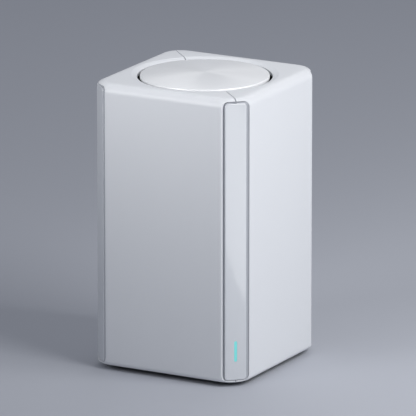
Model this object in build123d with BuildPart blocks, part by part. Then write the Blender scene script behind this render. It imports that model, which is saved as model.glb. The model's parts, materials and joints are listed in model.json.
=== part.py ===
from build123d import *
from math import radians, sqrt, tan
import os

os.makedirs("parts", exist_ok=True)

# A square tower that stands on its base. Millimetres, +Z up, origin at the middle of the underside.
# The front corner, with the status light, is at +X -Y. The ports are in the +Y face.

# Overall form
body_width = 78.5  # across two opposite faces
total_height = 133.6  # from the standing surface to the flat top
foot_gap = 2.0  # the casing floats this far above the surface
corner_round = 11.0  # of the casing's upright edges
corner_leg = 9.4  # leg of the 45 degree flat cut into each of them
top_round = 4.4
bottom_round = 2.4

# Casing walls
wall = 2.2
corner_wall = 3.0  # thicker, because the corner strips are let into it
top_wall = 2.6
seam_gap = 0.5  # slit between the two casing halves
lip_round = 0.4

# Recess and strip in each corner
recess_land = 0.15  # flat left between the recess and the casing face
recess_depth = 1.2
recess_round = 4.5  # at the mouth
recess_mouth = 3.0  # the mouth lies this far outside the 45 degree flat
recess_top = 0.6  # below the flat top, at the mouth
recess_bottom = 0.5  # above the casing's lower edge, at the mouth
strip_margin = 1.45  # from each side of the recess to the strip
strip_clearance = 0.1  # at its left side and below it
strip_gap = 1.15  # dark gap at its right side
strip_head_gap = 0.7  # dark gap above it
strip_pad_thickness = 1.1  # the strip is bonded to a dark pad on the recess floor
strip_pad_round = 2.2
strip_proud = 0.5  # stands out of the corner face
strip_round = 1.6
strip_edge = 0.4
strip_top_drop = 2.2  # below the flat top
strip_bottom_rise = 1.2  # above the casing's lower edge

# Status light in the front strip
light_height = 16.6
light_length = 9.6
light_width = 1.3
light_depth = 5.0
light_clearance = 0.05

# Round vent and its floating disc
vent_radius = 33.4
vent_slope_width = 2.6
vent_slope_depth = 0.9
disc_gap = 1.4  # round the disc
disc_thickness = 1.9
disc_edge = 0.5
disc_drop = 0.25  # rim of the disc below the flat top
disc_rise = 1.0  # crown of the disc over its rim
bowl_depth = 9.6
bowl_floor = 2.0
bowl_wall = 1.6
bowl_flange = 3.4
bowl_slot_count = 24
bowl_slot_width = 2.0
bowl_slot_inner_margin = 2.7  # from the posts
bowl_slot_outer_margin = 3.3  # from the bowl's wall
post_count = 3
post_circle = 12.0
post_radius = 2.8
disc_screw_radius = 1.0
disc_screw_head = 2.0
disc_screw_head_height = 1.2
disc_screw_reach = 0.95  # into the disc
disc_screw_hole = 1.15  # depth of its hole in the disc
screw_clearance = 0.05

# Base
tray_clearance = 0.3
tray_lift = 0.6  # tray's underside above the casing's lower edge
tray_thickness = 2.4
intake_slot_count = 9
intake_slot_length = 34.0
intake_slot_width = 2.0
intake_slot_pitch = 5.0
cover_inset = 6.0
foot_height = 0.8
foot_inset = 1.5
foot_width = 5.0
foot_leg = 6.65
boss_width = 7.0
boss_depth = 7.0
boss_height = 11.0
base_screw_spread = 16.0
base_screw_radius = 1.1
base_screw_head = 2.3
base_screw_head_height = 1.5
base_screw_length = 9.5
base_screw_key = 1.15  # corner radius of the hexagon in its head
key_sides = 6
counterbore_clearance = 0.2
cover_opening = 4.6  # radius left open round each base screw

# Port window in the +Y face
window_width = 53.0
window_below = 1.8  # from the port board's upper face to the window's lower edge
window_above = 3.7  # from the network sockets to the window's upper edge
window_round = 2.0
panel_clearance = 0.2
panel_recess = 1.2
panel_flange = 1.1
panel_flange_thickness = 1.2

# Horizontal board that carries the ports
port_board_top = 10.6
board_thickness = 1.6
board_round = 1.5
port_board_width = 55.0
port_board_front = 12.2
port_board_margin = 0.2  # behind the panel

# Network sockets
jack_width = 15.0
jack_height = 13.5
jack_depth = 16.0
jack_setback = 0.15
jack_margin = 0.8  # from the panel's side to the first socket
jack_between = 0.6
jack_names = ("a", "b")
jack_mouth_width = 11.8
jack_mouth_height = 7.2
jack_mouth_bottom = 4.2
jack_mouth_depth = 13.0
jack_latch_width = 6.2
jack_latch_height = 2.4
contact_count = 8
contact_pitch = 1.02
contact_width = 0.4
contact_length = 8.0
contact_drop = 1.3

# Power inlet
inlet_between = 1.2  # from the second network socket
inlet_width = 9.0
inlet_height = 11.0
inlet_depth = 15.0
inlet_axis_height = 6.0
inlet_nose_radius = 4.0
inlet_shoulder_gap = 0.15  # from the panel's back to the inlet's body
inlet_bore_radius = 3.15
inlet_bore_depth = 9.5
inlet_pin_radius = 1.0
inlet_pin_length = 8.7
inlet_pin_root = 2.0

# Pairing button, its switch, and the recessed reset switch
button_between = 1.0  # from the inlet to the button's flange
button_axis_height = 3.4
button_radius = 2.4
button_clearance = 0.1
button_proud = 0.4
button_flange_radius = 3.1
button_flange_thickness = 1.0
button_flange_gap = 0.35
button_travel = 0.5
button_edge = 0.3
plunger_radius = 1.5
plunger_length = 2.9
switch_width = 6.0
switch_height = 6.4
switch_depth = 4.6
switch_gap = 1.5  # from the button's back to the switch
reset_between = 0.3  # from the other switch
reset_axis_height = 1.9
reset_hole_radius = 0.9
reset_travel = 0.25
reset_plunger_radius = 0.6
reset_plunger_length = 1.8
reset_plunger_proud = 0.6
reset_body_width = 3.6
reset_body_height = 3.6
reset_body_depth = 3.8
reset_setback = 2.0  # from the panel's back to the switch

# Upright main board and what it carries
main_board_face = 10.0
main_board_width = 56.0
main_board_rise = 1.4  # from the port board's upper face to this board's lower edge
processor_side = 17.0
processor_height = 1.6
pad_side = 20.0
pad_thickness = 1.0
sink_width = 44.0
sink_bottom_margin = 23.0  # from the board's lower edge
sink_top_margin = 17.0  # from the board's upper edge
sink_base = 3.0
sink_fin_count = 9
sink_fin_thickness = 1.2
sink_fin_depth = 13.4
can_width = 40.0
can_bottom_margin = 26.0
can_top_margin = 12.0
can_between = 10.0
can_depth = 3.0
can_wall = 0.4
can_round = 1.0
can_names = ("upper", "lower")
memory_side = 9.0
memory_height = 1.1
memory_spread = 16.0
memory_rise = 13.0  # from the board's lower edge to the middle of the chips
capacitor_radius = 3.0
capacitor_length = 8.0
capacitor_edge = 0.5
capacitor_spread = 40.0
capacitor_rise = 7.0
transformer_width = 12.0
transformer_depth = 7.0
transformer_height = 5.0
transformer_round = 0.6
transformer_middle = 17.0
link_place = 17.0
link_width = 14.0
link_depth = 4.4
link_height = 5.4
board_screw_spread = 54.4
board_screw_low_margin = 32.0
board_screw_high_margin = 4.0
board_screw_radius = 0.5
board_screw_head = 1.4
board_screw_head_height = 0.8
board_screw_length = 5.0

# Inner frame and antennas
frame_front = -26.0
frame_wall = 1.6
frame_top_gap = 10.3  # under the vent bowl
frame_board_drop = 4.0  # from the frame's top to the main board's
frame_window_rise = 7.0  # from the tray
frame_window_height = 28.0
frame_window_side = 24.0
frame_window_round = 2.0
antenna_width = 14.0
antenna_thickness = 0.8
antenna_round = 1.0
antenna_drop = 7.0  # from the frame's top
antenna_rise = 5.0  # from the frame's window
antenna_spread = 28.0
antenna_side_middle = -8.0
coax_radius = 0.6
coax_socket_radius = 1.2
coax_socket_height = 1.4
coax_socket_drop = 4.0  # from the board's upper edge
coax_side_socket = 22.0
coax_loop_rise = 4.0  # over the frame's top
coax_gap = 0.1
coax_landing = 2.0  # length of each lead that lies on its antenna
coax_bend_share = 0.45  # of the shorter run beside a bend

# Light board behind the front corner
lamp_height = 0.8
lamp_count = 3
lamp_pitch = 3.0
lamp_width = 1.6
lamp_gap = 0.3
light_board_width = 8.0
light_board_thickness = 1.0
light_board_height = 18.0
light_board_round = 1.0
holder_width = 10.0
holder_thickness = 2.0

# Places worked out from the sizes above
half_width = body_width / 2
inner_half = half_width - wall
casing_height = total_height - foot_gap
corner_face = (body_width - corner_leg) / sqrt(2)  # from the axis to a corner face
inner_corner = corner_face - corner_wall
tray_bottom = foot_gap + tray_lift
tray_top = tray_bottom + tray_thickness
top_underside = total_height - top_wall
vent_throat = vent_radius - vent_slope_width
disc_radius = vent_throat - disc_gap
boss_middle = inner_half - boss_depth / 2
window_face = half_width - panel_recess
panel_back = inner_half - panel_flange_thickness
port_front = window_face - jack_setback
port_board_back = panel_back - port_board_margin
board_back = main_board_face + board_thickness
disc_rim_top = total_height - disc_drop
disc_underside = disc_rim_top - disc_thickness
bowl_bottom = top_underside + vent_slope_depth - bowl_depth
bowl_floor_top = bowl_bottom + bowl_floor
bowl_slot_inner = post_circle + post_radius + bowl_slot_inner_margin
bowl_slot_outer = vent_throat - bowl_slot_outer_margin
window_bottom = port_board_top - window_below
window_top = port_board_top + jack_height + window_above
window_middle = (window_top + window_bottom) / 2
window_height = window_top - window_bottom
jack_row = panel_clearance + jack_margin - window_width / 2  # outer side of the first network socket
jack_places = (jack_row + jack_width / 2, jack_row + jack_between + 1.5 * jack_width)
inlet_place = jack_row + 2 * jack_width + jack_between + inlet_between + inlet_width / 2
button_place = inlet_place + inlet_width / 2 + button_between + button_flange_radius
reset_place = button_place + (switch_width + reset_body_width) / 2 + reset_between
frame_half = main_board_width / 2
frame_top = bowl_bottom - frame_top_gap
main_board_bottom = port_board_top + main_board_rise
main_board_top = frame_top - frame_board_drop
sink_bottom = main_board_bottom + sink_bottom_margin
sink_top = main_board_top - sink_top_margin
sink_height = sink_top - sink_bottom
processor_level = (sink_top + sink_bottom) / 2
can_bottom = main_board_bottom + can_bottom_margin
can_top = main_board_top - can_top_margin
can_height = (can_top - can_bottom - can_between) / 2
can_levels = (can_top - can_height / 2, can_bottom + can_height / 2)
board_screw_levels = (main_board_bottom + board_screw_low_margin, main_board_top - board_screw_high_margin)
board_screw_sides = (-board_screw_spread / 2, board_screw_spread / 2)
board_screw_places = [(side, level) for side in board_screw_sides for level in board_screw_levels]
overlap = 0.5  # how far joined solids and cuts run into each other


def octagon_leg(half, corner_distance):
    """Leg of the cut corner of a square of this half width whose cut lies this far from the axis."""
    return 2 * half - corner_distance * sqrt(2)


def corner_plane(angle, distance):
    """Upright plane facing outwards at this angle round the axis."""
    facing = Vector(1, 0, 0).rotate(Axis.Z, angle)
    along = Vector(0, 1, 0).rotate(Axis.Z, angle)
    return Plane(origin=facing * distance, x_dir=along, z_dir=facing)


def corner_axis(angle):
    """Axis that points outwards at this angle round the middle."""
    return Axis((0, 0, 0), corner_plane(angle, 0).z_dir)


def arc_radii(points):
    """Radius at each corner of a lead: the largest that its two runs allow."""
    vectors = [Vector(*point) for point in points]
    radii = []
    for before, here, after in zip(vectors, vectors[1:], vectors[2:]):
        turn = radians((here - before).get_angle(after - here))
        shorter = min((here - before).length, (after - here).length)
        radii.append(coax_bend_share * shorter / tan(turn / 2))
    return radii


# Casing, made whole and then split along the diagonal through the front and back corners
inner_leg = octagon_leg(inner_half, inner_corner)
strip_top = total_height - strip_top_drop
strip_bottom = foot_gap + strip_bottom_rise
recess_width = corner_leg * sqrt(2) - 2 * recess_land
strip_width = recess_width - 2 * strip_margin
recess_slope = (strip_margin - strip_clearance) / recess_depth
recess_steep = (strip_margin - strip_gap) / recess_depth
mouth_left = recess_width / 2 + recess_slope * recess_mouth
mouth_right = recess_width / 2 + recess_steep * recess_mouth
mouth_middle = (mouth_right - mouth_left) / 2
recess_low = foot_gap + recess_bottom
recess_high = total_height - recess_top
recess_middle = (recess_low + recess_high) / 2
recess_height = recess_high - recess_low
pad_width = strip_width + strip_clearance + strip_gap
pad_shift = (strip_gap - strip_clearance) / 2
pad_low = strip_bottom - strip_clearance
pad_high = strip_top + strip_head_gap
pad_middle = (pad_low + pad_high) / 2
pad_height = pad_high - pad_low
pad_front = corner_face - recess_depth + strip_pad_thickness
strip_middle = (strip_top + strip_bottom) / 2
strip_length = strip_top - strip_bottom
slot_length = light_length + 2 * light_clearance
slot_width = light_width + 2 * light_clearance
front_angle = -45
corner_angles = {"front": -45, "right": 45, "back": 135, "left": 225}

with BuildPart() as casing:
    with BuildSketch(Plane.XY.offset(foot_gap)):
        RectangleRounded(body_width, body_width, corner_round)
    extrude(amount=casing_height)
    fillet(casing.faces().sort_by(Axis.Z)[-1].edges(), top_round)
    fillet(casing.faces().sort_by(Axis.Z)[0].edges(), bottom_round)
    with BuildSketch(Plane.XY.offset(foot_gap - overlap)):
        Rectangle(2 * inner_half, 2 * inner_half)
        chamfer(vertices(), inner_leg)
    extrude(amount=casing_height - top_wall + overlap, mode=Mode.SUBTRACT)
    # Recesses with sloped sides for the corner strips
    for angle in corner_angles.values():
        with BuildSketch(corner_plane(angle, corner_face + recess_mouth)):
            with Locations((mouth_middle, recess_middle)):
                RectangleRounded(mouth_left + mouth_right, recess_height, recess_round)
        with BuildSketch(corner_plane(angle, corner_face - recess_depth)):
            with Locations((pad_shift, pad_middle)):
                RectangleRounded(pad_width, pad_height, strip_pad_round)
        loft(mode=Mode.SUBTRACT)
    # Round vent with a shallow funnel
    with BuildSketch(Plane.XZ):
        with BuildLine():
            Polyline(
                (0, top_underside - overlap),
                (vent_throat, top_underside - overlap),
                (vent_throat, total_height - vent_slope_depth),
                (vent_radius, total_height),
                (vent_radius, total_height + overlap),
                (0, total_height + overlap),
                close=True,
            )
        make_face()
    revolve(axis=Axis.Z, mode=Mode.SUBTRACT)
    fillet(casing.faces().sort_by(Axis.Z)[-1].inner_wires()[0].edges(), lip_round)
    # Window for the ports
    with BuildSketch(Plane.XZ.offset(-half_width - overlap)):
        with Locations((0, window_middle)):
            RectangleRounded(window_width, window_height, window_round)
    extrude(amount=wall + 2 * overlap, mode=Mode.SUBTRACT)
    # Slot for the light bar
    with BuildSketch(corner_plane(front_angle, corner_face + overlap)):
        with Locations((0, light_height)):
            SlotOverall(slot_length, slot_width, rotation=90)
    extrude(amount=-(corner_wall + 2 * overlap), mode=Mode.SUBTRACT)
    # Screw bosses on the side walls
    with BuildSketch(Plane.XY.offset(tray_top)):
        with GridLocations(2 * boss_middle + overlap, 2 * base_screw_spread, 2, 2):
            Rectangle(boss_depth + overlap, boss_width)
    extrude(amount=boss_height)
    with BuildSketch(Plane.XY.offset(tray_top)):
        with GridLocations(2 * boss_middle, 2 * base_screw_spread, 2, 2):
            Circle(base_screw_radius + screw_clearance)
    extrude(amount=base_screw_length, mode=Mode.SUBTRACT)

seam_facing = Vector(1, 1, 0).normalized()
with BuildPart() as right_casing:
    add(casing.part)
    split(bisect_by=Plane(origin=seam_facing * seam_gap / 2, z_dir=seam_facing), keep=Keep.TOP)
right_casing.part.label = "right_casing"
export_step(right_casing.part, "parts/right_casing.step")

with BuildPart() as left_casing:
    add(casing.part)
    split(bisect_by=Plane(origin=seam_facing * -seam_gap / 2, z_dir=seam_facing), keep=Keep.BOTTOM)
left_casing.part.label = "left_casing"
export_step(left_casing.part, "parts/left_casing.step")

# Corner strips, each bonded to a dark pad that is wider than it
for name, angle in corner_angles.items():
    with BuildPart() as pad:
        with BuildSketch(corner_plane(angle, pad_front)):
            with Locations((pad_shift, pad_middle)):
                RectangleRounded(pad_width, pad_height, strip_pad_round)
            if name == "front":
                with Locations((0, light_height)):
                    SlotOverall(slot_length, slot_width, rotation=90, mode=Mode.SUBTRACT)
        extrude(amount=-strip_pad_thickness)
    pad.part.label = f"{name}_pad"
    export_step(pad.part, f"parts/{name}_pad.step")

    with BuildPart() as strip:
        with BuildSketch(corner_plane(angle, pad_front)):
            with Locations((0, strip_middle)):
                RectangleRounded(strip_width, strip_length, strip_round)
            if name == "front":
                with Locations((0, light_height)):
                    SlotOverall(slot_length, slot_width, rotation=90, mode=Mode.SUBTRACT)
        extrude(amount=corner_face + strip_proud - pad_front)
        rim = strip.faces().sort_by(corner_axis(angle))[-1].outer_wire().edges()
        fillet(rim, strip_edge)
    strip.part.label = f"{name}_strip"
    export_step(strip.part, f"parts/{name}_strip.step")

# Light bar, lamps, their board and its holder
with BuildPart() as light_bar:
    with BuildSketch(corner_plane(front_angle, corner_face + strip_proud - light_clearance)):
        with Locations((0, light_height)):
            SlotOverall(light_length, light_width, rotation=90)
    extrude(amount=-light_depth)
light_bar.part.label = "light_bar"
export_step(light_bar.part, "parts/light_bar.step")

lamp_face = corner_face + strip_proud - light_clearance - light_depth - lamp_gap
with BuildPart() as lamps:
    with BuildSketch(corner_plane(front_angle, lamp_face)):
        with Locations((0, light_height)):
            with GridLocations(lamp_width, lamp_pitch, 1, lamp_count):
                Rectangle(lamp_width, lamp_width)
    extrude(amount=-lamp_height)
lamps.part.label = "lamps"
export_step(lamps.part, "parts/lamps.step")

light_board_face = lamp_face - lamp_height
light_board_top = light_height + light_board_height / 2
with BuildPart() as light_board:
    with BuildSketch(corner_plane(front_angle, light_board_face)):
        with Locations((0, light_height)):
            RectangleRounded(light_board_width, light_board_height, light_board_round)
    extrude(amount=-light_board_thickness)
light_board.part.label = "light_board"
export_step(light_board.part, "parts/light_board.step")

holder_face = light_board_face - light_board_thickness
with BuildPart() as light_holder:
    with BuildSketch(corner_plane(front_angle, holder_face)):
        with Locations((0, (light_board_top + tray_top) / 2)):
            Rectangle(holder_width, light_board_top - tray_top)
    extrude(amount=-holder_thickness)
    top_corners = light_holder.edges().filter_by(corner_axis(front_angle)).group_by(Axis.Z)[-1]
    fillet(top_corners, holder_thickness)
light_holder.part.label = "light_holder"
export_step(light_holder.part, "parts/light_holder.step")

# Floating disc, crowned, with a rounded rim
disc_crown = (0, disc_rim_top + disc_rise)
disc_shoulder = (disc_radius - disc_edge, disc_rim_top)
disc_side = (disc_radius, disc_rim_top - disc_edge)
disc_lower_side = (disc_radius, disc_underside + disc_edge)
disc_foot = (disc_radius - disc_edge, disc_underside)
with BuildPart() as top_disc:
    with BuildSketch(Plane.XZ):
        with BuildLine():
            TangentArc(disc_crown, disc_shoulder, tangent=(1, 0))
            TangentArc(disc_side, disc_shoulder, tangent=(0, 1))
            Line(disc_side, disc_lower_side)
            TangentArc(disc_lower_side, disc_foot, tangent=(0, -1))
            Polyline(disc_foot, (0, disc_underside), disc_crown)
        make_face()
    revolve(axis=Axis.Z)
    with BuildSketch(Plane.XY.offset(disc_underside)):
        with PolarLocations(post_circle, post_count):
            Circle(disc_screw_radius + screw_clearance)
    extrude(amount=disc_screw_hole, mode=Mode.SUBTRACT)
top_disc.part.label = "top_disc"
export_step(top_disc.part, "parts/top_disc.step")

# Vent bowl that carries the disc on posts and lets the air out through slots
with BuildPart() as vent_bowl:
    with BuildSketch(Plane.XY.offset(bowl_bottom)):
        Circle(vent_throat + bowl_wall)
    extrude(amount=top_underside - bowl_bottom)
    with BuildSketch(Plane.XY.offset(bowl_floor_top)):
        Circle(vent_throat)
    extrude(amount=top_underside - bowl_floor_top, mode=Mode.SUBTRACT)
    with BuildSketch(Plane.XY.offset(top_underside - bowl_wall)):
        Circle(vent_throat + bowl_flange)
        Circle(vent_throat + bowl_wall / 2, mode=Mode.SUBTRACT)
    extrude(amount=bowl_wall)
    with BuildSketch(Plane.XY.offset(bowl_bottom)):
        with PolarLocations((bowl_slot_outer + bowl_slot_inner) / 2, bowl_slot_count):
            SlotOverall(bowl_slot_outer - bowl_slot_inner, bowl_slot_width)
    extrude(amount=bowl_floor, mode=Mode.SUBTRACT)
    with BuildSketch(Plane.XY.offset(bowl_floor_top)):
        with PolarLocations(post_circle, post_count):
            Circle(post_radius)
    extrude(amount=disc_underside - bowl_floor_top)
    with BuildSketch(Plane.XY.offset(bowl_bottom)):
        with PolarLocations(post_circle, post_count):
            Circle(disc_screw_radius + screw_clearance)
    extrude(amount=disc_underside - bowl_bottom, mode=Mode.SUBTRACT)
vent_bowl.part.label = "vent_bowl"
export_step(vent_bowl.part, "parts/vent_bowl.step")

with BuildPart() as disc_screws:
    with BuildSketch(Plane.XY.offset(bowl_bottom)):
        with PolarLocations(post_circle, post_count):
            Circle(disc_screw_radius)
    extrude(amount=disc_underside + disc_screw_reach - bowl_bottom)
    with BuildSketch(Plane.XY.offset(bowl_bottom)):
        with PolarLocations(post_circle, post_count):
            Circle(disc_screw_head)
    extrude(amount=-disc_screw_head_height)
disc_screws.part.label = "disc_screws"
export_step(disc_screws.part, "parts/disc_screws.step")

# Base tray, its lower cover, the foot ring and the screws
tray_half = inner_half - tray_clearance
with BuildPart() as base_tray:
    with BuildSketch(Plane.XY.offset(tray_bottom)):
        Rectangle(2 * tray_half, 2 * tray_half)
        chamfer(vertices(), octagon_leg(tray_half, inner_corner - tray_clearance))
    extrude(amount=tray_thickness)
    with BuildSketch(Plane.XY.offset(tray_bottom)):
        with GridLocations(intake_slot_pitch, intake_slot_length, intake_slot_count, 1):
            SlotOverall(intake_slot_length, intake_slot_width, rotation=90)
    extrude(amount=tray_thickness, mode=Mode.SUBTRACT)
    with Locations(Plane(origin=(0, 0, tray_bottom), z_dir=(0, 0, -1))):
        with GridLocations(2 * boss_middle, 2 * base_screw_spread, 2, 2):
            CounterBoreHole(
                base_screw_radius + counterbore_clearance,
                base_screw_head + counterbore_clearance,
                base_screw_head_height,
                tray_thickness,
            )
base_tray.part.label = "base_tray"
export_step(base_tray.part, "parts/base_tray.step")

cover_half = half_width - cover_inset
with BuildPart() as base_cover:
    with BuildSketch(Plane.XY.offset(foot_height)):
        Rectangle(2 * cover_half, 2 * cover_half)
        chamfer(vertices(), octagon_leg(cover_half, corner_face - cover_inset))
    extrude(amount=tray_bottom - foot_height)
    with GridLocations(2 * boss_middle, 2 * base_screw_spread, 2, 2):
        Cylinder(cover_opening, 2 * total_height, mode=Mode.SUBTRACT)
    with BuildSketch(Plane.XY.offset(foot_height)):
        with GridLocations(intake_slot_pitch, intake_slot_length, intake_slot_count, 1):
            SlotOverall(intake_slot_length, intake_slot_width, rotation=90)
    extrude(amount=tray_bottom - foot_height, mode=Mode.SUBTRACT)
base_cover.part.label = "base_cover"
export_step(base_cover.part, "parts/base_cover.step")

foot_half = boss_middle - cover_opening - foot_inset
with BuildPart() as foot_ring:
    with BuildSketch():
        Rectangle(2 * foot_half, 2 * foot_half)
        chamfer(vertices(), foot_leg)
        offset(amount=-foot_width, mode=Mode.SUBTRACT)
    extrude(amount=foot_height)
foot_ring.part.label = "foot_ring"
export_step(foot_ring.part, "parts/foot_ring.step")

with BuildPart() as base_screws:
    with BuildSketch(Plane.XY.offset(tray_bottom + base_screw_head_height)):
        with GridLocations(2 * boss_middle, 2 * base_screw_spread, 2, 2):
            Circle(base_screw_radius)
    extrude(amount=base_screw_length)
    with BuildSketch(Plane.XY.offset(tray_bottom)):
        with GridLocations(2 * boss_middle, 2 * base_screw_spread, 2, 2):
            Circle(base_screw_head)
            RegularPolygon(base_screw_key, key_sides, mode=Mode.SUBTRACT)
    extrude(amount=base_screw_head_height)
base_screws.part.label = "base_screws"
export_step(base_screws.part, "parts/base_screws.step")

# Panel round the ports, held behind the window by its flange
jack_middle = port_board_top + jack_height / 2
inlet_level = port_board_top + inlet_axis_height
button_level = port_board_top + button_axis_height
reset_level = port_board_top + reset_axis_height
button_bore = button_radius + button_clearance
with BuildPart() as port_panel:
    with BuildSketch(Plane.XZ.offset(-inner_half)):
        with Locations((0, window_middle)):
            RectangleRounded(
                window_width + 2 * panel_flange,
                window_height + 2 * panel_flange,
                window_round + panel_flange,
            )
    extrude(amount=panel_flange_thickness)
    with BuildSketch(Plane.XZ.offset(-window_face)):
        with Locations((0, window_middle)):
            RectangleRounded(
                window_width - 2 * panel_clearance,
                window_height - 2 * panel_clearance,
                window_round - panel_clearance,
            )
    extrude(amount=window_face - inner_half)
    with BuildSketch(Plane.XZ.offset(-window_face)):
        with Locations(*[(place, jack_middle) for place in jack_places]):
            Rectangle(jack_width + 2 * panel_clearance, jack_height + 2 * panel_clearance)
        with Locations((inlet_place, inlet_level)):
            Circle(inlet_nose_radius + panel_clearance)
        with Locations((button_place, button_level)):
            Circle(button_bore)
        with Locations((reset_place, reset_level)):
            Circle(reset_hole_radius)
    extrude(amount=window_face - panel_back, mode=Mode.SUBTRACT)
port_panel.part.label = "port_panel"
export_step(port_panel.part, "parts/port_panel.step")

# Network sockets and their spring contacts
for name, place in zip(jack_names, jack_places):
    mouth_low = port_board_top + jack_mouth_bottom
    with BuildPart() as jack:
        with BuildSketch(Plane.XZ.offset(-port_front)):
            with Locations((place, jack_middle)):
                Rectangle(jack_width, jack_height)
        extrude(amount=jack_depth)
        with BuildSketch(Plane.XZ.offset(-port_front)):
            with Locations((place, mouth_low)):
                Rectangle(jack_mouth_width, jack_mouth_height, align=(Align.CENTER, Align.MIN))
                Rectangle(jack_latch_width, jack_latch_height, align=(Align.CENTER, Align.MAX))
        extrude(amount=jack_mouth_depth, mode=Mode.SUBTRACT)
    jack.part.label = f"network_socket_{name}"
    export_step(jack.part, f"parts/network_socket_{name}.step")

    contact_top = mouth_low + jack_mouth_height
    contact_back = port_front - jack_mouth_depth
    with BuildPart() as contacts:
        with BuildSketch(Plane.YZ.offset(place)):
            with BuildLine():
                Polyline(
                    (contact_back, contact_top),
                    (contact_back, contact_top - contact_drop),
                    (contact_back + contact_length, contact_top - contact_width),
                    (contact_back + contact_length, contact_top),
                    close=True,
                )
            make_face()
        extrude(amount=contact_width / 2, both=True)
    with BuildPart() as contact_row:
        with GridLocations(contact_pitch, 1, contact_count, 1):
            add(contacts.part)
    contact_row.part.label = f"socket_contacts_{name}"
    export_step(contact_row.part, f"parts/socket_contacts_{name}.step")

# Power inlet with its centre pin
inlet_body_front = panel_back - inlet_shoulder_gap
inlet_nose_length = port_front - inlet_body_front
with BuildPart() as power_inlet:
    with BuildSketch(Plane.XZ.offset(-inlet_body_front)):
        with Locations((inlet_place, port_board_top)):
            Rectangle(inlet_width, inlet_height, align=(Align.CENTER, Align.MIN))
    extrude(amount=inlet_depth - inlet_nose_length)
    with BuildSketch(Plane.XZ.offset(-port_front)):
        with Locations((inlet_place, inlet_level)):
            Circle(inlet_nose_radius)
    extrude(amount=inlet_nose_length)
    with BuildSketch(Plane.XZ.offset(-port_front)):
        with Locations((inlet_place, inlet_level)):
            Circle(inlet_bore_radius)
    extrude(amount=inlet_bore_depth, mode=Mode.SUBTRACT)
    with BuildSketch(Plane.XZ.offset(-(port_front - inlet_bore_depth))):
        with Locations((inlet_place, inlet_level)):
            Circle(inlet_pin_radius + screw_clearance)
    extrude(amount=inlet_pin_root, mode=Mode.SUBTRACT)
power_inlet.part.label = "power_inlet"
export_step(power_inlet.part, "parts/power_inlet.step")

with BuildPart() as inlet_pin:
    with BuildSketch(Plane.XZ.offset(-(port_front - inlet_bore_depth - inlet_pin_root))):
        with Locations((inlet_place, inlet_level)):
            Circle(inlet_pin_radius)
    extrude(amount=-(inlet_pin_root + inlet_pin_length))
    tip = inlet_pin.faces().sort_by(Axis.Y)[-1].edges()
    fillet(tip, inlet_pin_radius * 0.6)
inlet_pin.part.label = "inlet_pin"
export_step(inlet_pin.part, "parts/inlet_pin.step")

# Pairing button that presses the plunger of its switch
button_front = window_face + button_proud
button_flange_front = panel_back - button_flange_gap
button_back = button_flange_front - button_flange_thickness
switch_front = button_back - switch_gap
with BuildPart() as pair_button:
    with BuildSketch(Plane.XZ.offset(-button_front)):
        with Locations((button_place, button_level)):
            Circle(button_radius)
    extrude(amount=button_front - button_back)
    fillet(pair_button.faces().sort_by(Axis.Y)[-1].edges(), button_edge)
    with BuildSketch(Plane.XZ.offset(-button_flange_front)):
        with Locations((button_place, button_level)):
            Circle(button_flange_radius)
    extrude(amount=button_flange_thickness)
pair_button.part.label = "pair_button"
export_step(pair_button.part, "parts/pair_button.step")

with BuildPart() as pair_plunger:
    with BuildSketch(Plane.XZ.offset(-button_back)):
        with Locations((button_place, button_level)):
            Circle(plunger_radius)
    extrude(amount=plunger_length)
pair_plunger.part.label = "pair_plunger"
export_step(pair_plunger.part, "parts/pair_plunger.step")

plunger_room = plunger_length - switch_gap + 2 * button_travel
with BuildPart() as pair_switch:
    with BuildSketch(Plane.XZ.offset(-switch_front)):
        with Locations((button_place, port_board_top)):
            Rectangle(switch_width, switch_height, align=(Align.CENTER, Align.MIN))
    extrude(amount=switch_depth)
    with BuildSketch(Plane.XZ.offset(-switch_front)):
        with Locations((button_place, button_level)):
            Circle(plunger_radius + button_clearance)
    extrude(amount=plunger_room, mode=Mode.SUBTRACT)
pair_switch.part.label = "pair_switch"
export_step(pair_switch.part, "parts/pair_switch.step")

# Reset switch, reached with a pin through the small hole
reset_front = panel_back - reset_setback
with BuildPart() as reset_switch:
    with BuildSketch(Plane.XZ.offset(-reset_front)):
        with Locations((reset_place, port_board_top)):
            Rectangle(reset_body_width, reset_body_height, align=(Align.CENTER, Align.MIN))
    extrude(amount=reset_body_depth)
    with BuildSketch(Plane.XZ.offset(-reset_front)):
        with Locations((reset_place, reset_level)):
            Circle(reset_plunger_radius + button_clearance)
    extrude(amount=reset_plunger_length - reset_plunger_proud + 2 * reset_travel, mode=Mode.SUBTRACT)
reset_switch.part.label = "reset_switch"
export_step(reset_switch.part, "parts/reset_switch.step")

with BuildPart() as reset_plunger:
    with BuildSketch(Plane.XZ.offset(-(reset_front + reset_plunger_proud))):
        with Locations((reset_place, reset_level)):
            Circle(reset_plunger_radius)
    extrude(amount=reset_plunger_length)
reset_plunger.part.label = "reset_plunger"
export_step(reset_plunger.part, "parts/reset_plunger.step")

# Boards
with BuildPart() as port_board:
    with BuildSketch(Plane.XY.offset(port_board_top - board_thickness)):
        with Locations((0, (port_board_front + port_board_back) / 2)):
            Rectangle(port_board_width, port_board_back - port_board_front)
    extrude(amount=board_thickness)
    fillet(port_board.edges().filter_by(Axis.Z), board_round)
port_board.part.label = "port_board"
export_step(port_board.part, "parts/port_board.step")

main_board_height = main_board_top - main_board_bottom
with BuildPart() as main_board:
    with BuildSketch(Plane.XZ.offset(-main_board_face)):
        with Locations((0, (main_board_top + main_board_bottom) / 2)):
            RectangleRounded(main_board_width, main_board_height, board_round)
        with Locations(*board_screw_places):
            Circle(board_screw_radius + screw_clearance, mode=Mode.SUBTRACT)
    extrude(amount=-board_thickness)
main_board.part.label = "main_board"
export_step(main_board.part, "parts/main_board.step")

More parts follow.
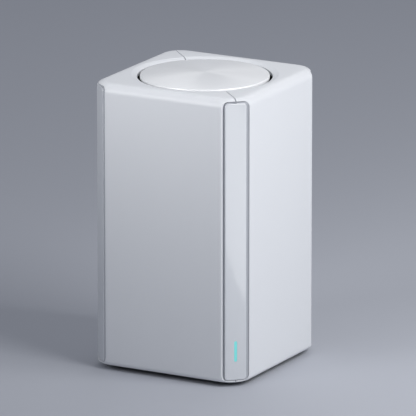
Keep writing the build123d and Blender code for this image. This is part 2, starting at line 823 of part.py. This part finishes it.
with BuildPart() as board_link:
    with BuildSketch(Plane.XY.offset(port_board_top)):
        with Locations((link_place, board_back)):
            Rectangle(link_width, link_depth, align=(Align.CENTER, Align.MIN))
    extrude(amount=link_height)
board_link.part.label = "board_link"
export_step(board_link.part, "parts/board_link.step")

with BuildPart() as transformers:
    with BuildSketch(Plane.XY.offset(port_board_top)):
        with Locations(*[(place, transformer_middle) for place in jack_places]):
            RectangleRounded(transformer_width, transformer_depth, transformer_round)
    extrude(amount=transformer_height)
transformers.part.label = "network_transformers"
export_step(transformers.part, "parts/network_transformers.step")

# Processor, its pad and the finned heat sink on the board's inner face
with BuildPart() as processor:
    with BuildSketch(Plane.XZ.offset(-main_board_face)):
        with Locations((0, processor_level)):
            Rectangle(processor_side, processor_side)
    extrude(amount=processor_height)
processor.part.label = "processor"
export_step(processor.part, "parts/processor.step")

pad_face = main_board_face - processor_height
with BuildPart() as thermal_pad:
    with BuildSketch(Plane.XZ.offset(-pad_face)):
        with Locations((0, processor_level)):
            Rectangle(pad_side, pad_side)
    extrude(amount=pad_thickness)
thermal_pad.part.label = "thermal_pad"
export_step(thermal_pad.part, "parts/thermal_pad.step")

sink_face = pad_face - pad_thickness
fin_pitch = (sink_width - sink_fin_thickness) / (sink_fin_count - 1)
with BuildPart() as heat_sink:
    with BuildSketch(Plane.XZ.offset(-sink_face)):
        with Locations((0, processor_level)):
            Rectangle(sink_width, sink_height)
    extrude(amount=sink_base)
    with BuildSketch(Plane.XZ.offset(-(sink_face - sink_base))):
        with Locations((0, processor_level)):
            with GridLocations(fin_pitch, sink_height, sink_fin_count, 1):
                Rectangle(sink_fin_thickness, sink_height)
    extrude(amount=sink_fin_depth)
heat_sink.part.label = "heat_sink"
export_step(heat_sink.part, "parts/heat_sink.step")

# Shield cans on the board's back
for name, level in zip(can_names, can_levels):
    with BuildPart() as can:
        with BuildSketch(Plane.XZ.offset(-board_back)):
            with Locations((0, level)):
                RectangleRounded(can_width, can_height, can_round)
        extrude(amount=-can_depth)
        with BuildSketch(Plane.XZ.offset(-board_back)):
            with Locations((0, level)):
                Rectangle(can_width - 2 * can_wall, can_height - 2 * can_wall)
        extrude(amount=-(can_depth - can_wall), mode=Mode.SUBTRACT)
    can.part.label = f"shield_can_{name}"
    export_step(can.part, f"parts/shield_can_{name}.step")

with BuildPart() as memory_chips:
    with BuildSketch(Plane.XZ.offset(-main_board_face)):
        with Locations((0, main_board_bottom + memory_rise)):
            with GridLocations(memory_spread, memory_side, 2, 1):
                Rectangle(memory_side, memory_side)
    extrude(amount=memory_height)
memory_chips.part.label = "memory_chips"
export_step(memory_chips.part, "parts/memory_chips.step")

with BuildPart() as capacitors:
    with BuildSketch(Plane.XZ.offset(-main_board_face)):
        with Locations((0, main_board_bottom + capacitor_rise)):
            with GridLocations(capacitor_spread, capacitor_radius, 2, 1):
                Circle(capacitor_radius)
    extrude(amount=capacitor_length)
    fillet(capacitors.faces().filter_by(Axis.Y).group_by(Axis.Y)[0].edges(), capacitor_edge)
capacitors.part.label = "capacitors"
export_step(capacitors.part, "parts/capacitors.step")

# Inner frame: three walls that stand on the tray, open to the back where the board closes it
with BuildPart() as inner_frame:
    with BuildSketch(Plane.XY.offset(tray_top)):
        with Locations((0, frame_front)):
            Rectangle(2 * frame_half, main_board_face - frame_front, align=(Align.CENTER, Align.MIN))
        with Locations((0, frame_front + frame_wall)):
            Rectangle(
                2 * (frame_half - frame_wall),
                main_board_face - frame_front - frame_wall,
                align=(Align.CENTER, Align.MIN),
                mode=Mode.SUBTRACT,
            )
    extrude(amount=frame_top - tray_top)
    window_level = tray_top + frame_window_rise + frame_window_height / 2
    with BuildSketch(Plane.XZ.offset(-(frame_front + frame_wall + overlap))):
        with Locations((0, window_level)):
            RectangleRounded(2 * frame_window_side, frame_window_height, frame_window_round)
    extrude(amount=frame_wall + 2 * overlap, mode=Mode.SUBTRACT)
    with BuildSketch(Plane.YZ.offset(-frame_half - overlap)):
        with Locations((antenna_side_middle, window_level)):
            RectangleRounded(frame_window_side, frame_window_height, frame_window_round)
    extrude(amount=2 * (frame_half + overlap), mode=Mode.SUBTRACT)
    with BuildSketch(Plane.XZ.offset(-main_board_face)):
        with Locations(*board_screw_places):
            Circle(board_screw_radius + screw_clearance)
    extrude(amount=board_screw_length, mode=Mode.SUBTRACT)
inner_frame.part.label = "inner_frame"
export_step(inner_frame.part, "parts/inner_frame.step")

with BuildPart() as board_screws:
    with BuildSketch(Plane.XZ.offset(-board_back)):
        with Locations(*board_screw_places):
            Circle(board_screw_radius)
    extrude(amount=board_screw_length)
    with BuildSketch(Plane.XZ.offset(-board_back)):
        with Locations(*board_screw_places):
            Circle(board_screw_head)
    extrude(amount=-board_screw_head_height)
board_screws.part.label = "board_screws"
export_step(board_screws.part, "parts/board_screws.step")

# Antennas on the frame's outer faces, their sockets on the board and the coaxial leads between them
antenna_top = frame_top - antenna_drop
antenna_bottom = tray_top + frame_window_rise + frame_window_height + antenna_rise
antenna_middle = (antenna_top + antenna_bottom) / 2
antenna_height = antenna_top - antenna_bottom
for name, place in (("front_left", -antenna_spread / 2), ("front_right", antenna_spread / 2)):
    with BuildPart() as antenna:
        with BuildSketch(Plane.XZ.offset(-frame_front)):
            with Locations((place, antenna_middle)):
                RectangleRounded(antenna_width, antenna_height, antenna_round)
        extrude(amount=antenna_thickness)
    antenna.part.label = f"antenna_{name}"
    export_step(antenna.part, f"parts/antenna_{name}.step")

for name, side in (("left", -1), ("right", 1)):
    with BuildPart() as antenna:
        with BuildSketch(Plane.YZ.offset(side * frame_half)):
            with Locations((antenna_side_middle, antenna_middle)):
                RectangleRounded(antenna_width, antenna_height, antenna_round)
        extrude(amount=side * antenna_thickness)
    antenna.part.label = f"antenna_{name}"
    export_step(antenna.part, f"parts/antenna_{name}.step")

coax_socket_level = main_board_top - coax_socket_drop
coax_loop_level = frame_top + coax_loop_rise
socket_places = (-coax_side_socket, -antenna_spread / 2, antenna_spread / 2, coax_side_socket)
with BuildPart() as coax_sockets:
    with BuildSketch(Plane.XZ.offset(-board_back)):
        with Locations(*[(place, coax_socket_level) for place in socket_places]):
            Circle(coax_socket_radius)
    extrude(amount=-coax_socket_height)
coax_sockets.part.label = "coax_sockets"
export_step(coax_sockets.part, "parts/coax_sockets.step")

lead_start = coax_socket_level + coax_socket_radius + coax_gap
lead_back = board_back + coax_socket_height / 2
lead_front = frame_front - antenna_thickness - coax_radius - coax_gap
lead_side = frame_half + antenna_thickness + coax_radius + coax_gap
lead_end = antenna_top - coax_landing
lead_routes = {
    "front_left": [
        (-antenna_spread / 2, lead_back, lead_start),
        (-antenna_spread / 2, lead_back, coax_loop_level),
        (-antenna_spread / 2, lead_front, coax_loop_level),
        (-antenna_spread / 2, lead_front, lead_end),
    ],
    "front_right": [
        (antenna_spread / 2, lead_back, lead_start),
        (antenna_spread / 2, lead_back, coax_loop_level),
        (antenna_spread / 2, lead_front, coax_loop_level),
        (antenna_spread / 2, lead_front, lead_end),
    ],
    "left": [
        (-coax_side_socket, lead_back, lead_start),
        (-coax_side_socket, lead_back, coax_loop_level),
        (-lead_side, antenna_side_middle, coax_loop_level),
        (-lead_side, antenna_side_middle, lead_end),
    ],
    "right": [
        (coax_side_socket, lead_back, lead_start),
        (coax_side_socket, lead_back, coax_loop_level),
        (lead_side, antenna_side_middle, coax_loop_level),
        (lead_side, antenna_side_middle, lead_end),
    ],
}
for name, route in lead_routes.items():
    with BuildPart() as lead:
        with BuildLine() as path:
            FilletPolyline(*route, radius=arc_radii(route))
        with BuildSketch(Plane(origin=route[0], z_dir=(0, 0, 1))):
            Circle(coax_radius)
        sweep()
    lead.part.label = f"antenna_lead_{name}"
    export_step(lead.part, f"parts/antenna_lead_{name}.step")
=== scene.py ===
import json
import math
import bmesh
import bpy
import numpy as np
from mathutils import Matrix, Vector


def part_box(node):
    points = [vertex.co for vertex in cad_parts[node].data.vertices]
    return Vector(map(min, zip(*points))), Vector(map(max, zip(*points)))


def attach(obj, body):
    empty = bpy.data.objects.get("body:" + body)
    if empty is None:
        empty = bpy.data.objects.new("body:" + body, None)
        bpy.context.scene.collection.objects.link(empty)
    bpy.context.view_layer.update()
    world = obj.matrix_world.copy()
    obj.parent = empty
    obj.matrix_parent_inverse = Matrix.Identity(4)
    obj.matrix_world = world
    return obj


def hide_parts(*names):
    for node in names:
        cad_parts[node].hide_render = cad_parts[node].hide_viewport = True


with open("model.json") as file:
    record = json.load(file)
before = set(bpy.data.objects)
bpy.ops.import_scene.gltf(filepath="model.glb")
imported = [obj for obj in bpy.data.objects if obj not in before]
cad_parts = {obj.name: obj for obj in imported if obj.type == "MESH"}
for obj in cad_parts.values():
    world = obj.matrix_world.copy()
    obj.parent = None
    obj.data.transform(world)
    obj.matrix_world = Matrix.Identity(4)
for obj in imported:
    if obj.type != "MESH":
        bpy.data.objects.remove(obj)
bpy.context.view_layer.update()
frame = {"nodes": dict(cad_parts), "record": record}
mm = 0.001
print("frame loaded:", len(frame["nodes"]), "nodes")

bodyOf = {node: body for body, nodes in frame["record"]["behaviour"]["bodies"].items() for node in nodes}
slotOf = {part["node"]: part["material_slot"] for part in frame["record"]["subparts"]}


def hexColour(text):
    # sRGB hex to linear
    values = [int(text[i:i + 2], 16) / 255 for i in (1, 3, 5)]
    return tuple(v / 12.92 if v <= 0.04045 else ((v + 0.055) / 1.055) ** 2.4 for v in values) + (1.0,)


def addNode(tree, kind, settings=None, **links):
    # one node, its own settings, then its inputs: a value, or another node's output
    node = tree.nodes.new(kind)
    for key, value in (settings or {}).items():
        setattr(node, key, value)
    for key, value in links.items():
        socket = node.inputs[key.replace("_", " ")]
        if isinstance(value, bpy.types.NodeSocket):
            tree.links.new(value, socket)
        else:
            socket.default_value = value
    return node


def newMaterial(name, colour, roughness, metallic=0.0, **extra):
    # a Principled shader with its plain values on its own sockets
    material = bpy.data.materials.new(name)
    material.use_nodes = True
    tree = material.node_tree
    shader = tree.nodes["Principled BSDF"]
    shader.inputs["Base Color"].default_value = hexColour(colour)
    shader.inputs["Roughness"].default_value = roughness
    shader.inputs["Metallic"].default_value = metallic
    for key, value in extra.items():
        shader.inputs[key.replace("_", " ")].default_value = value
    material.diffuse_color = hexColour(colour)
    return material, tree, shader


def objectCoordinates(tree):
    return addNode(tree, "ShaderNodeTexCoord").outputs["Object"]


glossPatch = 22  # mm, the width of the slow patches in which the gloss of a moulding drifts


def addGrain(tree, shader, spacing, depth, strength, roughnessSpan):
    # moulded or cast grain: noise whose cells are spacing mm wide and depth mm high, and a slow drift of gloss
    coords = objectCoordinates(tree)
    noise = addNode(tree, "ShaderNodeTexNoise", Vector=coords, Scale=1 / (spacing * mm), Detail=2.0)
    bump = addNode(tree, "ShaderNodeBump", Strength=strength, Distance=depth * mm,
                   Height=noise.outputs["Fac"])
    tree.links.new(bump.outputs["Normal"], shader.inputs["Normal"])
    cloud = addNode(tree, "ShaderNodeTexNoise", Vector=coords, Scale=1 / (glossPatch * mm), Detail=3.0)
    span = addNode(tree, "ShaderNodeMapRange", Value=cloud.outputs["Fac"], To_Min=roughnessSpan[0],
                   To_Max=roughnessSpan[1])
    tree.links.new(span.outputs["Result"], shader.inputs["Roughness"])


def addShade(tree, shader, colour, other, spacing):
    # slow drift between two close colours, in patches spacing mm wide
    cloud = addNode(tree, "ShaderNodeTexNoise", Vector=objectCoordinates(tree), Scale=1 / (spacing * mm),
                    Detail=2.0)
    mix = addNode(tree, "ShaderNodeMix", {"data_type": "RGBA"}, Factor=cloud.outputs["Fac"])
    mix.inputs["A"].default_value = hexColour(colour)
    mix.inputs["B"].default_value = hexColour(other)
    tree.links.new(mix.outputs["Result"], shader.inputs["Base Color"])


def casingAbs():
    # injection-moulded ABS with a satin spark finish: soft broad highlights, a faint pebble close up
    material, tree, shader = newMaterial("casingAbsSatin", "#e3e5e8", 0.42)
    addGrain(tree, shader, spacing=0.35, depth=0.004, strength=0.35, roughnessSpan=(0.38, 0.46))
    return material


def stripAbs():
    # the same ABS from a polished mould under clear lacquer: the strips catch clear reflections
    material, tree, shader = newMaterial("stripAbsLacquered", "#d6d9dd", 0.3, Coat_Weight=1.0,
                                         Coat_Roughness=0.06, Coat_IOR=1.9)
    addGrain(tree, shader, spacing=1.6, depth=0.002, strength=0.08, roughnessSpan=(0.26, 0.34))
    return material


ringSpacing = 0.5  # mm, from one turned ring to the next: coarser than real, so that it shows


def spunDisc():
    # painted cap turned with fine concentric rings: the rings spread light into radial fans
    material, tree, shader = newMaterial("spunCap", "#fafbfc", 0.26, metallic=0.22, Anisotropic=0.95)
    tangent = addNode(tree, "ShaderNodeTangent", {"direction_type": "RADIAL", "axis": "Z"})
    tree.links.new(tangent.outputs["Tangent"], shader.inputs["Tangent"])
    # rings: a wave of the distance from the axis, whose length at scale 1 is pi / 10
    rings = addNode(tree, "ShaderNodeTexWave", {"wave_type": "RINGS", "rings_direction": "Z"},
                    Vector=objectCoordinates(tree), Scale=math.pi / 10 / (ringSpacing * mm))
    bump = addNode(tree, "ShaderNodeBump", Strength=0.08, Distance=0.004 * mm, Height=rings.outputs["Fac"])
    tree.links.new(bump.outputs["Normal"], shader.inputs["Normal"])
    return material


def plainMoulding(name, colour, roughness):
    # moulded plastic or rubber with fine grain: even and soft, with no pattern to see from afar
    material, tree, shader = newMaterial(name, colour, roughness)
    span = (roughness - 0.05, roughness + 0.05)
    addGrain(tree, shader, spacing=0.4, depth=0.006, strength=0.4, roughnessSpan=span)
    return material


def lightGuide():
    # frosted acrylic lit from behind: an even aqua glow
    return newMaterial("lightGuideAcrylic", "#7cd0ce", 0.3, Emission_Color=hexColour("#74dcdc"),
                       Emission_Strength=0.28)[0]


def solderMask():
    # glass-fibre board under green lacquer: a deep green that drifts a little from place to place
    material, tree, shader = newMaterial("boardSolderMask", "#1d5a3a", 0.35, Coat_Weight=0.4)
    addShade(tree, shader, "#1a5236", "#21643f", spacing=6)
    return material


def metalFinish(name, colour, roughness, spacing):
    # plated, rolled or extruded metal: tinted reflections broken up by faint grain
    material, tree, shader = newMaterial(name, colour, roughness, metallic=1.0)
    span = (roughness - 0.06, roughness + 0.08)
    addGrain(tree, shader, spacing, depth=0.003, strength=0.4, roughnessSpan=span)
    return material


materials = {
    "casing_plastic": casingAbs(),
    "strip_plastic": stripAbs(),
    "disc_plastic": spunDisc(),
    "dark_plastic": plainMoulding("darkAbs", "#1c1d20", 0.5),
    "light_guide": lightGuide(),
    "lamp_resin": plainMoulding("lampEpoxy", "#dff5ee", 0.2),
    "board": solderMask(),
    "screw_steel": metalFinish("zincPlatedSteel", "#a9abb0", 0.35, 0.3),
    # grey foam in the grooves round the strips and in the seam: its mid-grey is painted shade for those narrow
    # grooves
    "seal_foam": plainMoulding("foamPaintedShade", "#b0b3b9", 0.85),
    "foot_rubber": plainMoulding("footSilicone", "#1b1c1e", 0.75),
    "panel_plastic": plainMoulding("panelAbs", "#cfd2d6", 0.45),
    "socket_plastic": plainMoulding("socketNylon", "#17181a", 0.35),
    "contact_gold": metalFinish("goldFlash", "#d9b25c", 0.25, 0.2),
    "button_plastic": plainMoulding("buttonAbs", "#c3c6cb", 0.3),
    "switch_plastic": plainMoulding("switchNylon", "#202124", 0.45),
    "chip_resin": plainMoulding("chipEpoxy", "#141416", 0.55),
    "pad_rubber": plainMoulding("padSilicone", "#7f9cc4", 0.8),
    "sink_aluminium": metalFinish("extrudedAluminium", "#c4c7cc", 0.4, 0.5),
    "can_steel": metalFinish("tinPlate", "#bfc1c4", 0.3, 0.4),
    "frame_plastic": plainMoulding("frameAbs", "#b9bbbe", 0.5),
    "lead_sheath": plainMoulding("leadPvc", "#18191b", 0.4),
}
print("materials ready:", len(materials))

for node, thing in frame["nodes"].items():
    thing.data.materials.clear()
    thing.data.materials.append(materials[slotOf[node]])


# the finished skins: angles in degrees, the merging distance in metres, and each node's edge easing in mm
skinValues = {"sharp": 24, "flat": 0.05, "merge": 1e-7, "segments": 2}
skins = {"left_casing": 0.1, "right_casing": 0.1, "front_strip": 0, "left_strip": 0, "right_strip": 0,
         "back_strip": 0, "vent_bowl": 0, "port_panel": 0.1}


def finishedSkin(node, edge):
    # a copy of the CAD mesh with its triangles merged, its edges eased and its rounds shaded smooth
    sharp = math.radians(skinValues["sharp"])
    source = frame["nodes"][node]
    mesh = source.data.copy()
    mesh.name = node + "_skin"
    work = bmesh.new()
    work.from_mesh(mesh)
    bmesh.ops.remove_doubles(work, verts=work.verts, dist=skinValues["merge"])
    bmesh.ops.dissolve_limit(work, angle_limit=math.radians(skinValues["flat"]), verts=work.verts,
                             edges=work.edges)
    work.to_mesh(mesh)
    work.free()
    mesh.shade_smooth()
    mesh.set_sharp_from_angle(angle=sharp)
    skin = bpy.data.objects.new(node + "_skin", mesh)
    bpy.context.scene.collection.objects.link(skin)
    if edge:
        bevel = skin.modifiers.new("easedEdges", "BEVEL")
        bevel.width = edge * mm
        bevel.segments = skinValues["segments"]
        bevel.limit_method = "ANGLE"
        bevel.angle_limit = sharp
        bevel.harden_normals = True
    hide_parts(node)
    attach(skin, bodyOf[node])


for node, edge in skins.items():
    finishedSkin(node, edge)
print("skins finished:", len(skins))


def addPiece(name, points, faces, body, slot, smooth=30):
    # a mesh piece at the origin, smooth below an angle in degrees, with the body and the finish that it takes
    mesh = bpy.data.meshes.new(name)
    mesh.from_pydata(np.asarray(points).tolist(), [], [tuple(face) for face in faces])
    work = bmesh.new()
    work.from_mesh(mesh)
    bmesh.ops.recalc_face_normals(work, faces=work.faces)
    work.to_mesh(mesh)
    work.free()
    mesh.materials.append(materials[slot])
    if smooth:
        mesh.shade_smooth()
        mesh.set_sharp_from_angle(angle=math.radians(smooth))
    piece = bpy.data.objects.new(name, mesh)
    bpy.context.scene.collection.objects.link(piece)
    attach(piece, body)
    return piece


def sweptProfile(radii, heights, segments):
    # a profile swept round the Z axis: point (i, j) is radius i turned by angle j at height i, and the first
    # and last points are single poles
    turn = np.linspace(0, 2 * np.pi, segments, endpoint=False)
    ring = np.stack([np.outer(radii[1:-1], np.cos(turn)), np.outer(radii[1:-1], np.sin(turn)),
                     np.repeat(heights[1:-1, None], segments, axis=1)], axis=-1).reshape(-1, 3)
    count = len(radii) - 2
    points = np.vstack([ring, [0, 0, heights[0]], [0, 0, heights[-1]]])
    index = np.arange(count * segments).reshape(count, segments)
    after = np.roll(index, -1, axis=1)
    quads = np.stack([index[:-1], index[1:], after[1:], after[:-1]], axis=-1).reshape(-1, 4)
    top, bottom = count * segments, count * segments + 1
    caps = [(top, here, there) for here, there in zip(index[0], after[0])]
    caps += [(bottom, there, here) for here, there in zip(index[-1], after[-1])]
    return points, quads.tolist() + [[int(i) for i in cap] for cap in caps]


# the floating cap: its crown over the rim and the rounding of its edges, in mm, and how finely it is turned
capValues = {"rise": 1.0, "edge": 0.5, "crownRings": 48, "edgeRings": 8, "segments": 320}


def makeCap():
    # crown: z = top - rise * (r / shoulder)^2, then two quarter rounds with an upright side between them
    low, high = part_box("top_disc")
    radius = (high[0] - low[0]) / 2
    edge = capValues["edge"] * mm
    shoulder = radius - edge
    across = np.linspace(0, shoulder, capValues["crownRings"])
    crown = high[2] - capValues["rise"] * mm * (across / shoulder) ** 2
    bend = np.linspace(0, np.pi / 2, capValues["edgeRings"])
    upper = bend[1:]
    radii = np.concatenate([across, shoulder + edge * np.sin(upper), shoulder + edge * np.cos(bend), [0]])
    heights = np.concatenate([crown, crown[-1] - edge + edge * np.cos(upper),
                              low[2] + edge - edge * np.sin(bend), [low[2]]])
    points, faces = sweptProfile(radii, heights, capValues["segments"])
    cap = addPiece("spunCap", points, faces, bodyOf["top_disc"], slotOf["top_disc"])
    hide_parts("top_disc")


makeCap()
print("cap turned")

# the foam tongue in the seam between the casing halves, whose grey is painted shade for the seam; in mm: how
# far it stays under the surface, its width and depth, how far from the axis it starts and the flat top ends,
# the round of the top's edge, and the step at its foot; then the degrees and points of its bend
sealValues = {"drop": 0.35, "width": 0.4, "depth": 2.2, "start": 34.2, "flatEnd": 46.4, "round": 4.4,
              "step": 1.2, "bend": 48, "points": 9}


def makeSeamShadeSeal():
    # a grey tongue standing in for the shade down in the seam
    # outline in the seam's plane: level from the vent to the end of the flat top, then an arc down the
    # rounded edge, x = flat end + r sin(a) and z = top - r (1 - cos(a))
    start, flatEnd = sealValues["start"] * mm, sealValues["flatEnd"] * mm
    radius = (sealValues["round"] - sealValues["drop"]) * mm
    angle = np.linspace(0, math.radians(sealValues["bend"]), sealValues["points"])
    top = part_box("left_casing")[1][2] - sealValues["drop"] * mm
    under = top - sealValues["depth"] * mm
    outer = np.stack([flatEnd + radius * np.sin(angle), top - radius * (1 - np.cos(angle))], axis=-1)
    foot = [[outer[-1, 0] - sealValues["step"] * mm, under], [start, under]]
    outline = np.vstack([[[start, top]], outer, foot])
    half = sealValues["width"] * mm / 2
    count = len(outline)
    for name, side in (("seamShadeSealFront", 1), ("seamShadeSealBack", -1)):
        along = np.array([side, -side]) / math.sqrt(2)
        across = np.array([side, side]) / math.sqrt(2)
        near = outline[:, :1] * along + half * across
        far = outline[:, :1] * along - half * across
        points = np.vstack([np.hstack([near, outline[:, 1:]]), np.hstack([far, outline[:, 1:]])])
        faces = [tuple(range(count)), tuple(range(2 * count - 1, count - 1, -1))]
        faces += [(i, i + count, (i + 1) % count + count, (i + 1) % count) for i in range(count)]
        addPiece(name, points, faces, bodyOf["left_casing"], "seal_foam", smooth=0)


makeSeamShadeSeal()
print("seam sealed")


stageValues = {
    "floorColour": "#b9bcc4",
    "floorSize": 6.0,
    "target": (0.0, 0.0, 0.0675),
    "azimuth": 28.71,
    "elevation": 14.96,
    "distance": 3.166,
    "lens": 602.7,
    "shift": (0.0075, 0.0169),
    "worldColour": "#c8ccd6",
    "worldStrength": 0.5,
}

# each softbox: azimuth, elevation and spread in degrees, distance, sides and the height it is aimed at in
# metres, and its power in watts
softboxes = {
    "keyRight": {"azimuth": 82, "elevation": 36, "distance": 0.55, "size": (0.35, 0.35), "spread": 180,
                 "aim": 0.07, "power": 2.15},
    "fillLeft": {"azimuth": -25, "elevation": 32, "distance": 0.45, "size": (0.2, 0.2), "spread": 50,
                 "aim": 0.2, "power": 0.11},
    "rearHigh": {"azimuth": 190, "elevation": 40, "distance": 0.9, "size": (0.6, 0.4), "spread": 180,
                 "aim": 0.07, "power": 0.6},
}


def makeFloor():
    # one flat level sheet, far wider than the picture
    size = stageValues["floorSize"]
    points = [(-size, -size, 0), (size, -size, 0), (size, size, 0), (-size, size, 0)]
    mesh = bpy.data.meshes.new("floor")
    mesh.from_pydata(points, [], [(0, 1, 2, 3)])
    floor = bpy.data.objects.new("floor", mesh)
    bpy.context.scene.collection.objects.link(floor)
    # matt paint: pale, with no reflection of the object
    mesh.materials.append(newMaterial("paintedFloor", stageValues["floorColour"], 0.7)[0])


def outwards(azimuth, elevation):
    # unit vector from the middle: azimuth 0 looks along -Y and turns towards +X
    a, e = math.radians(azimuth), math.radians(elevation)
    return Vector((math.sin(a) * math.cos(e), -math.cos(a) * math.cos(e), math.sin(e)))


def addSoftbox(name, box):
    light = bpy.data.lights.new(name, "AREA")
    light.shape = "RECTANGLE"
    light.size, light.size_y = box["size"]
    light.energy = box["power"]
    light.spread = math.radians(box["spread"])
    lamp = bpy.data.objects.new(name, light)
    direction = outwards(box["azimuth"], box["elevation"])
    lamp.location = Vector(stageValues["target"]) + direction * box["distance"]
    lamp.rotation_mode = "QUATERNION"
    lamp.rotation_quaternion = (lamp.location - Vector((0, 0, box["aim"]))).to_track_quat("Z", "Y")
    bpy.context.scene.collection.objects.link(lamp)


# a light card lying face up beside the object, which the lacquered front strip mirrors: its middle and sides
# in metres, its turn in degrees and its power in watts
cardValues = {"middle": (0.4239, -0.2388, 0.001), "size": (0.54, 0.18), "turn": 132.2, "power": 0.26}


def addLightCard():
    # half a turn about X faces it upwards
    light = bpy.data.lights.new("lightCard", "AREA")
    light.shape = "RECTANGLE"
    light.size, light.size_y = cardValues["size"]
    light.energy = cardValues["power"]
    card = bpy.data.objects.new("lightCard", light)
    card.location = cardValues["middle"]
    card.rotation_euler = (math.pi, 0, math.radians(cardValues["turn"]))
    bpy.context.scene.collection.objects.link(card)


def makeCamera():
    back = outwards(stageValues["azimuth"], stageValues["elevation"])
    camera = bpy.data.cameras.new("camera")
    camera.lens = stageValues["lens"]
    camera.sensor_width = 36.0
    camera.shift_x, camera.shift_y = stageValues["shift"]
    camera.clip_end = 50
    holder = bpy.data.objects.new("camera", camera)
    holder.rotation_mode = "QUATERNION"
    holder.location = Vector(stageValues["target"]) + back * stageValues["distance"]
    holder.rotation_quaternion = back.to_track_quat("Z", "Y")
    bpy.context.scene.collection.objects.link(holder)
    bpy.context.scene.camera = holder


makeFloor()
makeCamera()
for name, box in softboxes.items():
    addSoftbox(name, box)
addLightCard()
world = bpy.data.worlds.new("studio")
world.use_nodes = True
sky = world.node_tree.nodes["Background"]
sky.inputs["Color"].default_value = hexColour(stageValues["worldColour"])
sky.inputs["Strength"].default_value = stageValues["worldStrength"]
bpy.context.scene.world = world
bpy.context.scene.view_settings.view_transform = "Standard"
print("stage, lights and camera ready")
